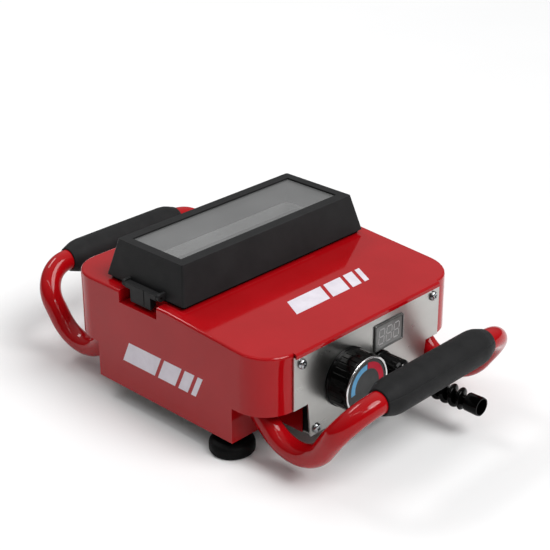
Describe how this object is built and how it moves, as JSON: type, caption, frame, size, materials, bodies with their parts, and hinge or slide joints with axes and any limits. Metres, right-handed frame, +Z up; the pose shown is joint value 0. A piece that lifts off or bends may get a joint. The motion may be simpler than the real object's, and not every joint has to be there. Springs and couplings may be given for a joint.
{
  "type": "ski and snowboard waxing machine",
  "caption": "Bench waxing machine: red sheet-metal box with a heated tray and driven wax roller under a windowed lift-off lid, a dial panel and bent-tube carrying handles.",
  "frame": {"origin": "centre of the bounding box's base, on the plane the feet stand on", "axes": "+X along the roller, to the right as seen from the control panel; -Y out of the control panel; +Z up"},
  "size_m": [0.3132, 0.5066, 0.1807],
  "materials": {
    "red_paint": "gloss",
    "steel": "satin",
    "panel_steel": "brushed",
    "chrome": "polished",
    "aluminium": "satin",
    "black_plastic": "fine texture",
    "rubber": "matt",
    "grip": "matt foam rubber",
    "window": "clear, slightly hazy",
    "lens": "gloss",
    "brass": "satin",
    "board": "solder resist",
    "insulation": "matt"
  },
  "bodies": {
    "chassis": {"base_plate": "steel", "bush_left": "brass", "bush_right": "brass", "cable_gland": "black_plastic", "control_board": "board", "control_box": "black_plastic", "display_frame": "black_plastic", "display_lens": "lens", "drive_belt": "rubber", "foot_1": "rubber", "foot_2": "rubber", "foot_3": "rubber", "foot_4": "rubber", "foot_stud_1": "steel", "foot_stud_2": "steel", "foot_stud_3": "steel", "foot_stud_4": "steel", "front_panel": "panel_steel", "gear_motor": "steel", "gland_nut": "black_plastic", "grip_front": "grip", "grip_rear": "grip", "handle_bolt_1": "steel", "handle_bolt_2": "steel", "handle_bolt_3": "steel", "handle_bolt_4": "steel", "handle_front": "red_paint", "handle_rear": "red_paint", "heater_rod_1": "steel", "heater_rod_2": "steel", "housing": "red_paint", "insulation": "insulation", "motor_bracket": "steel", "panel_screw_1": "chrome", "panel_screw_2": "chrome", "panel_screw_3": "chrome", "panel_screw_4": "chrome", "switch_body": "black_plastic", "thermal_cutout": "black_plastic", "thermostat": "black_plastic", "wax_tray": "aluminium"},
    "lid": {"lid_frame": "black_plastic", "lid_window": "window", "lid_seal": "rubber", "latch_pin_left": "steel", "latch_pin_right": "steel"},
    "left_latch": {"latch_left": "black_plastic"},
    "right_latch": {"latch_right": "black_plastic"},
    "temperature_dial": {"temperature_knob": "black_plastic", "knob_ring": "chrome", "thermostat_shaft": "steel"},
    "selector": {"switch_knob": "black_plastic"},
    "wax_roller": {"roller": "aluminium", "roller_shaft": "steel", "roller_pulley": "aluminium"},
    "drive_pulley": {"motor_pulley": "aluminium", "motor_shaft": "steel"}
  },
  "joints": [
    {"name": "lid_lift", "type": "slide", "parent": "chassis", "child": "lid", "axis": [0, 0, 1], "range_m": [0, 0.12]},
    {"name": "left_latch_swing", "type": "hinge", "parent": "lid", "child": "left_latch", "pos_m": [-0.1415, 0.034, 0.1434], "axis": [0, 1, 0], "range_deg": [0, 70]},
    {"name": "right_latch_swing", "type": "hinge", "parent": "lid", "child": "right_latch", "pos_m": [0.1415, 0.034, 0.1434], "axis": [0, -1, 0], "range_deg": [0, 70]},
    {"name": "temperature_turn", "type": "hinge", "parent": "chassis", "child": "temperature_dial", "pos_m": [-0.0365, -0.152, 0.0719], "axis": [0, 1, 0], "range_deg": [-90, 90]},
    {"name": "selector_turn", "type": "hinge", "parent": "chassis", "child": "selector", "pos_m": [0.0153, -0.152, 0.064], "axis": [0, 1, 0], "range_deg": [0, 90]},
    {"name": "roller_turn", "type": "hinge", "parent": "chassis", "child": "wax_roller", "pos_m": [0, 0.0372, 0.13], "axis": [1, 0, 0], "continuous": true},
    {"name": "drive_turn", "type": "hinge", "parent": "chassis", "child": "drive_pulley", "pos_m": [0.108, 0.0372, 0.066], "axis": [1, 0, 0], "continuous": true}
  ],
  "couplings": [
    {"joint": "drive_turn", "follows": "roller_turn", "ratio": 1.632}
  ]
}
